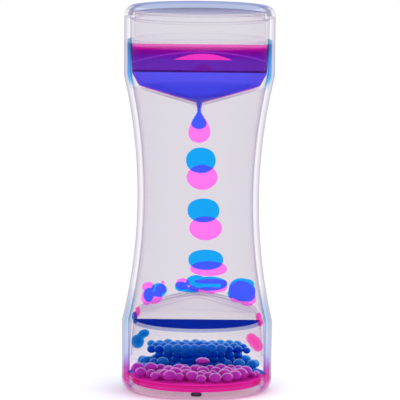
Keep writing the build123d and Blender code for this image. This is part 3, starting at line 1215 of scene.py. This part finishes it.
@dataclass
class Liquid:
    """One coloured liquid with its drops, on its own side of the divider."""

    name: str
    side: Side
    drop: Material
    deep: Material
    reservoir: Material
    flat: Material
    surface: Material
    pool: Material
    bubbles: Material
    squareness: float
    droop: float
    floor_lift: float
    tear: Outline
    tear_bend: float = 0.0
    last_drop_down: float = 0.0
    last_drop_height: float = 1.0
    level: float = 122.4
    overlap: float = 0.05
    thread: tuple[Pair, ...] = ((0, 99.5), (0.6, 99.5), (1.3, 102.6), (0, 102.6))

    def place(self, piece: Object, body: str, *nodes: str) -> None:
        """Lets a piece of this liquid ride on its body, in place of its nodes."""
        seated(piece, body, f"{self.name}_liquid", *nodes)

    def filled(self, funnels: Funnels) -> None:
        """Builds the liquid that is still in the upper funnel, with the thread in its nozzle.

        Args:
            funnels: The funnels' sizes.
        """
        node = f"{self.name}_reservoir"
        mesh = funnels.filled(node + "_body", self.side, self.level, -self.overlap, self.floor_lift)
        thread = turned_mesh("thread", list(self.thread), steps=32)
        thread.transform(Matrix.Translation((0, self.side.value * funnels.nozzle_offset * MM, 0)))
        piece = changed(linked(node + "_body", mesh, self.reservoir), thread, Change.JOIN)
        materials = piece.data.materials
        materials.clear()
        for finish in (self.reservoir, self.surface, self.flat):
            materials.append(finish)
        for face in piece.data.polygons:
            plane = abs(face.normal.y) > FLAT and abs(face.center.y) < MM
            face.material_index = 1 if face.normal.z > LEVEL else 2 if plane else 0
        sharpened(piece.data, angle=25)
        self.place(piece, HOUSING, node)

    def falling(self, number: int) -> None:
        """Builds one falling drop, flattened by its way through the oil.

        Args:
            number: Its number from the top.
        """
        node = f"{self.name}_falling_drop_{number}"
        low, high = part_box(node)
        centre, half = (low + high) / 2, (high - low) / 2
        last = number == 3
        if last:
            centre.z -= self.last_drop_down * MM
            half.z *= self.last_drop_height
        flatter, uneven, calm = 0.05, 0.03, 0.2
        power = 2 + self.squareness + flatter * number
        droop = self.droop * (calm if last else 1)
        work = bmesh.new()
        bmesh.ops.create_uvsphere(work, u_segments=64, v_segments=40, radius=1.0)
        for vert in work.verts:
            x, y, z = vert.co
            reach = math.hypot(x, y)
            x, y, z = vert.co * (reach**power + abs(z) ** power) ** (-1 / power)
            narrow = 1 - droop * max(0.0, -z) ** 2
            lean = uneven * math.sin(2 * math.atan2(y, x) + number)
            vert.co = (
                centre.x + half.x * x * narrow * (1 + lean * 0.5),
                centre.y + half.y * y * narrow,
                centre.z + half.z * z * (1 - abs(lean) * 0.4),
            )
        piece = linked(node + "_body", made_mesh(node + "_body", work), self.drop)
        self.place(piece, f"{self.name}_drop_{number}", node)

    def hanging(self) -> None:
        """Builds the drop that hangs from the nozzle, a teardrop with a thin neck."""
        node = f"{self.name}_hanging_drop"
        low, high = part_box(node)
        wide, tall = (high.x - low.x) / 2 / MM, (high.z - low.z) / MM
        bottom = low.z / MM
        curve = [(wide * reach, bottom + tall * rise) for rise, reach in eased(self.tear, 60)]
        mesh = turned_mesh(node + "_body", [(0, bottom), *curve, (0, bottom + tall)], steps=64)
        axis = (low + high) / 2
        for vert in mesh.vertices:
            lift = (vert.co.z - low.z) / (high.z - low.z)
            vert.co.x += axis.x + self.tear_bend * MM * math.sin(math.pi * lift)
            vert.co.y += axis.y
        self.place(linked(node + "_body", mesh, self.drop), HOUSING, node)

    def lobed(self, shape: LobedDrop) -> None:
        """Builds a drop of several lobes. A landed drop lies still, and each other one moves.

        Args:
            shape: Its shape.
        """
        node = f"{self.name}_{shape.part}"
        mesh = lobed_mesh(node + "_body", shape.lobes, shape.voxel)
        finish = self.deep if shape.deep else self.drop
        body = HOUSING if shape.part == "landed_drop" else node
        self.place(linked(node + "_body", mesh, finish), body, node)

    def gutter(self, end: str, *lobes: Lobe) -> None:
        """Builds liquid that has run into the gutter between the lower funnel and the casing."""
        name = f"{self.name}_gutter_{end}"
        self.place(linked(name, lobed_mesh(name, lobes, voxel=0.16, rounds=4), self.deep), HOUSING)

    def bed(self, name: str, spots: list[Spot], squash: float, finish: Material | None = None) -> None:
        """Builds a bed of settled bubbles as one piece.

        Args:
            name: The piece's name.
            spots: The centre and width of each bubble in millimetres.
            squash: The height of a bubble as a share of its width.
            finish: Another finish than this liquid's bubbles have.
        """
        work = bmesh.new()
        for centre, width in spots:
            shape = Matrix.Diagonal((width / 2 * MM, width / 2 * MM, width / 2 * MM * squash, 1))
            place = Matrix.Translation(Vector(centre) * MM)
            bmesh.ops.create_icosphere(work, subdivisions=3, radius=1.0, matrix=place @ shape)
        piece = linked(name, made_mesh(name, work), finish or self.bubbles)
        self.place(piece, HOUSING, f"{self.name}_bubbles")

    def build(self, funnels: Funnels, nodes: Nodes, shapes: list[LobedDrop]) -> None:
        """Builds the reservoir and all of the drops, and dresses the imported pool.

        Args:
            funnels: The funnels' sizes.
            nodes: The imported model's nodes by name.
            shapes: The drops that have several lobes.
        """
        self.filled(funnels)
        dress_node(nodes[f"{self.name}_pool"], self.pool)
        for number in (1, 2, 3):
            self.falling(number)
        self.hanging()
        for shape in shapes:
            self.lobed(shape)


def pink_liquid() -> Liquid:
    """The pink liquid with its finishes.

    Returns:
        The liquid.
    """
    # The paler end of each rim is a painted highlight along the drop's edge
    rim = [(0.86, PINK_THROUGH), (1.0, (1.0, 0.6, 0.95))]
    deep_rim = [(1.0, (1.0, 0.3, 0.7))]
    levels = [(99.0, (1.0, 0.3, 0.95)), (112.0, (1.0, 0.28, 0.95)), (122.5, (1.0, 0.28, 0.95))]
    tear = [(0, 0), (0.05, 0.5), (0.15, 0.84), (0.31, 1.0), (0.49, 0.92), (0.64, 0.74), (0.8, 0.46)]
    body, full = (1.0, 0.1, 0.8), (1.0, 0.08, 0.42)
    foam = BubbleFinish("pink_bubbles", (0.5, 0.03, 0.46), (0.6, 0.05, 0.52), (1.0, 0.78, 1.0), 0.65)
    return Liquid(
        "pink",
        Side.FRONT,
        # A lift above one is a painted glow
        drop=LiquidFinish("pink_drop", PINK_THROUGH, (1.0, 0.2, 0.8), 0.05, rim, lift=1.4).build(),
        deep=LiquidFinish("pink_deep", full, (1.0, 0.1, 0.6), 0.1, deep_rim, lift=1.3).build(),
        reservoir=LiquidFinish("pink_reservoir", PINK_THROUGH, body, 0.02, [], levels).build(),
        flat=LiquidFinish("pink_flat", PINK_THROUGH, body, 0.02, [], levels).build(),
        surface=LiquidFinish("pink_surface", (1.0, 0.5, 0.9), (1.0, 0.3, 0.8), 0.1, []).build(),
        pool=LiquidFinish("pink_pool", (0.9, 0.05, 0.5), (0.92, 0.03, 0.45), 0.75, []).build(),
        bubbles=foam.build(),
        squareness=0.02,
        droop=0.06,
        floor_lift=0.95,
        tear=[*tear, (0.92, 0.22), (1.0, 0.14)],
        tear_bend=0.2,
        last_drop_down=0.5,
        last_drop_height=0.84,
    )


def blue_liquid() -> Liquid:
    """The blue liquid with its finishes. Its flat face has painted reflections of the surfaces of both
    liquids, and painted shade.

    Returns:
        The liquid.
    """
    # The paler end of each rim is a painted highlight along the edge
    rim = [(0.86, BLUE_THROUGH), (1.0, (0.45, 0.85, 1.0))]
    deep_rim = [(1.0, (0.05, 0.5, 0.9))]
    # Painted shade and reflection by height on the flat face: the dark band at the knee and the dark violet
    # above it are painted shade, and the pink at the top is a painted reflection of the pink surface
    levels = [
        (99.5, (0.045, 0.27, 1.0)),
        (107.5, (0.05, 0.29, 1.0)),
        (109.6, (0.09, 0.36, 1.0)),
        (112.3, (0.1, 0.37, 1.0)),
        (112.5, (0.02, 0.0, 0.13)),
        (112.9, (0.05, 0.02, 0.22)),
        (113.4, (0.14, 0.1, 0.5)),
        (116.4, (0.13, 0.09, 0.5)),
        (118.2, (0.16, 0.02, 0.42)),
        (119.8, (0.24, 0.0, 0.32)),
        (121.0, (0.62, 0.03, 0.36)),
        (121.6, (1.0, 0.3, 0.62)),
        (122.5, (1.0, 0.4, 0.7)),
    ]
    tear = [(0, 0), (0.06, 0.56), (0.14, 0.88), (0.24, 1.0), (0.36, 0.95), (0.5, 0.73), (0.66, 0.44)]
    # glint is the colour of the painted reflection lens of the pink surface
    body, full, glint = (0.0, 0.42, 0.95), (0.0, 0.16, 0.66), (1.0, 0.16, 0.62)
    foam = BubbleFinish("blue_bubbles", (0.0, 0.07, 0.6), (0.0, 0.2, 0.75), (0.55, 0.9, 1.0), 0.7)
    flat = LiquidFinish("blue_flat", BLUE_THROUGH, (0.0, 0.3, 0.95), 0.02, [], levels, glint=glint)
    return Liquid(
        "blue",
        Side.REAR,
        # A lift above one is a painted glow
        drop=LiquidFinish("blue_drop", BLUE_THROUGH, body, 0.05, rim, lift=1.22).build(),
        deep=LiquidFinish("blue_deep", full, (0.0, 0.15, 0.7), 0.1, deep_rim).build(),
        reservoir=LiquidFinish("blue_reservoir", BLUE_THROUGH, body, 0.05, rim).build(),
        flat=flat.build(),
        surface=LiquidFinish("blue_surface", (0.97, 0.96, 0.98), (0.9, 0.9, 1.0), 0.02, []).build(),
        pool=LiquidFinish("blue_pool", (0.02, 0.25, 0.8), (0.0, 0.2, 0.75), 0.6, []).build(),
        bubbles=foam.build(),
        squareness=0.12,
        droop=0.0,
        floor_lift=0.05,
        tear=[*tear, (0.8, 0.25), (1.0, 0.21)],
    )


def lobed_drops(landed: Lobes, right: Lobes, left: Lobes, sinking: Lobes) -> list[LobedDrop]:
    """Names the four drops of several lobes that each liquid has.

    Args:
        landed: The lobes of the drop that has landed.
        right: Those of the drop that runs to the right.
        left: Those of the drop that runs to the left.
        sinking: Those of the drop that sinks in the base.

    Returns:
        The drops.
    """
    fine = 0.2
    return [
        LobedDrop("landed_drop", landed),
        LobedDrop("running_drop_right", right),
        LobedDrop("running_drop_left", left, fine),
        LobedDrop("sinking_drop", sinking, fine, deep=True),
    ]


def pink_shapes() -> list[LobedDrop]:
    """The pink drops that have several lobes.

    Returns:
        The drops.
    """
    landed = (
        Lobe((4.7, -6.0, 39.2), (12.0, 7.4, 1.5)),
        Lobe((4.4, -6.0, 36.2), (11.6, 7.4, 1.8)),
        Lobe((9.3, -5.9, 37.7), (2.4, 5.4, 4.0)),
        Lobe((0.4, -6.2, 36.2), (4.6, 4.0, 1.5)),
        Lobe((4.9, -9.6, 36.0), (3.0, 2.0, 1.6)),
        Lobe((-5.2, -6.2, 38.2), (5.0, 5.4, 4.2)),
        Lobe((-2.4, -6.4, 37.0), (4.4, 3.6, 1.8), (0, 12, 0)),
    )
    right = (
        Lobe((15.8, -6.2, 35.6), (9.6, 9.4, 7.8), (0, 14, 0)),
        Lobe((17.6, -6.0, 33.4), (6.4, 8.0, 5.6), (0, 16, 0)),
        Lobe((13.5, -6.2, 34.2), (4.4, 6.8, 4.6)),
    )
    left = (
        Lobe((-17.3, -6.0, 37.0), (4.4, 5.6, 3.6)),
        Lobe((-12.2, -5.6, 38.7), (1.3, 1.3, 1.3)),
        Lobe((-17.9, -6.2, 33.3), (3.6, 6.0, 5.6)),
        Lobe((-15.0, -5.8, 33.2), (5.6, 6.6, 4.4), (0, -14, 0)),
        Lobe((-12.8, -5.6, 36.3), (4.0, 4.6, 3.4)),
    )
    sinking = (
        Lobe((19.4, -4.6, 18.7), (4.2, 4.6, 3.8), (0, 40, 0)),
        Lobe((20.6, -4.6, 17.4), (4.6, 4.8, 4.4), (0, 40, 0)),
        Lobe((21.6, -4.6, 16.0), (3.8, 4.4, 3.8), (0, 40, 0)),
    )
    return lobed_drops(landed, right, left, sinking)


def blue_shapes() -> list[LobedDrop]:
    """The blue drops that have several lobes.

    Returns:
        The drops.
    """
    landed = (
        Lobe((4.4, 6.0, 36.6), (12.6, 9.6, 5.0)),
        Lobe((-0.4, 6.0, 37.4), (7.2, 7.4, 4.4)),
        Lobe((-5.8, 6.4, 35.4), (4.5, 4.8, 3.6)),
        Lobe((-3.6, 6.2, 34.4), (8.4, 4.0, 1.9), (0, 8, 0)),
        Lobe((0.2, 5.2, 35.3), (2.8, 2.4, 1.4), (0, 24, 0)),
    )
    right = (
        Lobe((15.9, 6.2, 34.5), (9.6, 9.6, 8.2), (0, 14, 0)),
        Lobe((17.2, 6.0, 36.6), (6.0, 7.0, 3.6)),
        Lobe((17.8, 6.0, 32.8), (5.6, 7.0, 5.0), (0, 16, 0)),
        Lobe((12.0, 6.0, 33.0), (2.6, 4.0, 3.0)),
    )
    left = (
        Lobe((-13.7, 6.2, 34.1), (5.8, 7.4, 5.0)),
        Lobe((-17.3, 5.8, 32.4), (3.6, 6.0, 5.0)),
        Lobe((-15.8, 6.0, 33.0), (4.6, 4.6, 2.4), (0, -16, 0)),
    )
    sinking = (
        Lobe((-18.9, 4.0, 18.7), (4.2, 4.6, 3.0), (0, -20, 0)),
        Lobe((-21.0, 4.0, 15.9), (4.6, 5.0, 5.0)),
    )
    return lobed_drops(landed, right, left, sinking)


def fill_gutters(pink: Liquid, blue: Liquid) -> None:
    """Builds what has run down to the ends of the lower funnel's ridge.

    Args:
        pink: The pink liquid.
        blue: The blue liquid.
    """
    upper, lower = Lobe((21.7, -7.6, 26.9), (2.2, 3.0, 3.4)), Lobe((22.3, -7.4, 25.0), (2.0, 3.2, 3.2))
    pink.gutter("right", upper, lower)
    upper, lower = Lobe((-20.9, -7.6, 28.6), (1.9, 3.2, 3.4)), Lobe((-21.6, -7.4, 27.2), (1.5, 2.4, 2.4))
    pink.gutter("left", upper, lower)
    upper, lower = Lobe((-22.2, 6.8, 24.4), (2.0, 3.4, 3.6)), Lobe((-22.0, 7.6, 22.8), (1.4, 2.4, 2.0))
    blue.gutter("left", upper, lower)


@dataclass(frozen=True)
class Bed:
    """Bubbles strewn over half a ring, with only small ones under the place of a sinking drop."""

    side: Side
    z: float
    sizes: Pair
    free: Pair
    tries: int = 190
    inner: float = 2.0
    outer: float = 24.2
    room: float = 4.4
    small: float = 2.4
    closeness: float = 0.36
    places: int = 20
    bearings: Pair = (4, 176)
    from_plate: float = 0.9
    scatter: float = 0.6

    def spots(self, rng: random.Random) -> list[Spot]:
        """Strews the bubbles without letting them sit on one another too deeply.

        Args:
            rng: The seeded source of places.

        Returns:
            The centre and width of each bubble in millimetres.
        """
        spots = []
        for _ in range(self.tries):
            width = rng.uniform(*self.sizes)
            for _ in range(self.places):
                angle = math.radians(rng.uniform(*self.bearings)) * self.side.value
                reach = rng.uniform(self.inner, self.outer - width / 2)
                x, y = reach * math.cos(angle), reach * math.sin(angle)
                if abs(y) < self.from_plate + width / 2:
                    continue
                near = math.dist((x, y), self.free) < self.room
                wide = min(width, self.small) if near else width
                lift = 0.0 if near else rng.uniform(0, self.scatter)
                at = Vector((x, y, self.z + wide / 2 + lift))
                if all((Vector(c) - at).length > self.closeness * (w + wide) for c, w in spots):
                    spots.append((tuple(at), wide))
                    break
        return spots


@dataclass(frozen=True)
class Mound:
    """The mound of blue bubbles: curved rows that widen upwards, three deep."""

    counts: tuple[int, ...] = (5, 8, 10, 12)
    depth: int = 3
    middle: float = 0.8
    front: float = 3.0
    low: float = 7.6
    step: float = 3.1
    row: float = 2.6
    rise: float = 2.0
    tilt: float = 0.4
    bend: float = 0.022
    sag: float = 0.004
    taper: float = 0.0009
    sizes: Pair = (3.8, 4.7)
    reach: float = 23.6
    loose_x: float = 0.25
    loose_z: float = 0.3

    def spots(self, rng: random.Random) -> list[Spot]:
        """Places the mound's bubbles, row by row from the lowest up.

        Args:
            rng: The seeded source of small shifts.

        Returns:
            The centre and width of each bubble in millimetres.
        """
        spots = []
        for level, count in enumerate(self.counts):
            for layer in range(self.depth):
                across = count - layer % 2
                for place in range(across):
                    x = self.middle + self.step * (place - (across - 1) / 2)
                    x += rng.uniform(-self.loose_x, self.loose_x)
                    y = self.front + self.row * layer + self.bend * x * x
                    z = self.low + self.rise * level + self.tilt * layer - self.sag * x * x
                    z += rng.uniform(-self.loose_z, self.loose_z)
                    size = rng.uniform(*self.sizes) * (1 - self.taper * x * x)
                    if math.hypot(x, y) + size / 2 < self.reach:
                        spots.append(((x, y, z), size))
        return spots


def settle_bubbles(pink: Liquid, blue: Liquid) -> None:
    """Builds the beds of bubbles on both pools and the blue mound, whose crest is paler.

    Args:
        pink: The pink liquid.
        blue: The blue liquid.
    """
    rng = random.Random(7)
    crest_z, squash = 12.9, 0.86
    pink.bed("pink_bubble_bed", Bed(Side.FRONT, 5.0, (3.6, 5.2), (21.0, -4.6)).spots(rng), 0.8)
    pink.bed("pink_high_bubble", [((2.1, -3.8, 10.4), 5.0)], 0.5)
    mound = Mound().spots(rng)
    tones = ((0.01, 0.22, 0.72), (0.03, 0.33, 0.8), (0.6, 0.92, 1.0))
    pale = BubbleFinish("blue_bubbles_pale", *tones, 0.6).build()
    blue.bed("blue_bubble_mound", [spot for spot in mound if spot[0][2] <= crest_z], squash)
    blue.bed("blue_bubble_crest", [spot for spot in mound if spot[0][2] > crest_z], squash, pale)
    bed = Bed(Side.REAR, 6.0, (3.2, 4.8), (-20.6, 4.0))
    blue.bed("blue_bubble_bed", bed.spots(rng), squash, pale)


def seen_or_reflected(sheet: NodeSheet) -> Socket:
    """Tells whether a surface is seen straight, in a reflection or through clear matter.

    Args:
        sheet: The node sheet of the surface.

    Returns:
        One where it is, and nothing for plain diffuse light.
    """
    path = sheet.add("ShaderNodeLightPath").outputs
    seen = sheet.reckon("MAXIMUM", path["Is Camera Ray"], path["Is Glossy Ray"])
    return sheet.reckon("MAXIMUM", seen, path["Is Transmission Ray"])


@dataclass(frozen=True)
class Studio:
    """The floor, the soft lights, the white surround and the camera."""

    distance: float = 1.3
    pitch: float = 7.2
    roll: float = 0.57
    target_z: float = 0.068
    lens: float = 331.7
    shift: Pair = (0.0044, -0.005)
    floor_reach: float = 6.0
    shadow: Pair = (0.03, 0.13)

    def floor(self) -> None:
        """Builds the plain pale floor, which takes the shadow and fades to white."""
        work = bmesh.new()
        bmesh.ops.create_circle(work, cap_ends=True, cap_tris=True, radius=self.floor_reach, segments=96)
        material, sheet = new_material("pale_floor")
        swirl = swirled(sheet, 3.0, 0.7, 0.02)
        tone = sheet.ramp(swirl["Mask"], [(0.0, (0.9, 0.9, 0.91)), (1.0, (0.94, 0.94, 0.945))])
        paint = sheet.add("ShaderNodeBsdfPrincipled", Base_Color=tone, Specular_IOR_Level=0.1)
        sheet.feed(swirl["Rough"], paint.inputs["Roughness"])
        white = sheet.add("ShaderNodeEmission", Strength=1.0)
        place = sheet.add("ShaderNodeTexCoord").outputs["Object"]
        reach = sheet.add("ShaderNodeVectorMath", {"operation": "LENGTH"}, Vector=place).outputs["Value"]
        far = sheet.mapped(reach, self.shadow, soft=False)
        share = sheet.reckon("MULTIPLY", far, seen_or_reflected(sheet))
        sheet.close(sheet.layered(paint.outputs[0], white.outputs[0], share))
        linked("floor", made_mesh("floor", work), material)

    def surround(self) -> None:
        """Sets the world: soft white light, and plain white where it is seen or reflected."""
        world = bpy.data.worlds.new("surround")
        bpy.context.scene.world = world
        world.use_nodes = True
        sheet = NodeSheet(world.node_tree)
        strength = sheet.mapped(seen_or_reflected(sheet), (0.0, 1.0), (0.75, 1.0), soft=False)
        sheet.close(sheet.add("ShaderNodeBackground", Strength=strength).outputs[0], "World")

    def aimed(self, name: str, data: bpy.types.ID, place: Point, roll: float = 0.0) -> Object:
        """Puts a lamp or the camera in the scene, facing the middle of the timer.

        Args:
            name: Its name.
            data: The lamp or camera.
            place: Where it stands, in metres.
            roll: How far it is turned about its line of sight, in degrees.

        Returns:
            The new object.
        """
        item = bpy.data.objects.new(name, data)
        item.location = place
        turn = (Vector((0, 0, self.target_z)) - item.location).to_track_quat("-Z", "Y").to_matrix()
        item.rotation_euler = (turn @ Matrix.Rotation(math.radians(roll), 3, "Z")).to_euler()
        bpy.context.scene.collection.objects.link(item)
        return item

    def lamp(self, name: str, place: Point, size: float, power: float) -> None:
        """Adds one soft lamp.

        Args:
            name: The lamp's name.
            place: Where it stands, in metres.
            size: The width of its square face, in metres.
            power: Its power in watts.
        """
        light = bpy.data.lights.new(name, "AREA")
        light.size, light.energy = size, power
        self.aimed(name, light, place)

    def camera(self) -> None:
        """Adds the camera at the photograph's angle."""
        data = bpy.data.cameras.new("camera")
        data.lens, data.sensor_width = self.lens, 36.0
        data.shift_x, data.shift_y = self.shift
        data.clip_end = 50
        pitch = math.radians(self.pitch)
        place = (0, -self.distance * math.cos(pitch), self.target_z + self.distance * math.sin(pitch))
        bpy.context.scene.camera = self.aimed("camera", data, place, self.roll)

    def build(self) -> None:
        """Builds all of the studio."""
        self.floor()
        self.surround()
        self.lamp("left_softbox", (-0.7, -0.6, 0.5), 0.5, 4.0)
        self.lamp("right_softbox", (0.8, -0.4, 0.4), 0.4, 3.0)
        self.lamp("top_softbox", (0.1, 0.2, 0.9), 0.6, 4.0)
        self.camera()
        scene = bpy.context.scene
        scene.view_settings.view_transform = "Standard"
        scene.cycles.transparent_max_bounces = 96
        scene.cycles.max_bounces = 24


def main() -> None:
    """Builds every sub-assembly in order."""
    logging.basicConfig(level=logging.INFO, format="%(name)s: %(message)s")
    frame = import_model()
    nodes = frame["nodes"]

    shell, funnels = Shell(), Funnels()
    shell.build(nodes)
    funnels.dress(nodes)
    finishes = oil_finishes()
    for side in Side:
        Oil(side, shell, funnels, finishes).build()

    pink, blue = pink_liquid(), blue_liquid()
    pink.build(funnels, nodes, pink_shapes())
    blue.build(funnels, nodes, blue_shapes())
    fill_gutters(pink, blue)
    settle_bubbles(pink, blue)

    Studio().build()


if __name__ == "__main__":
    main()
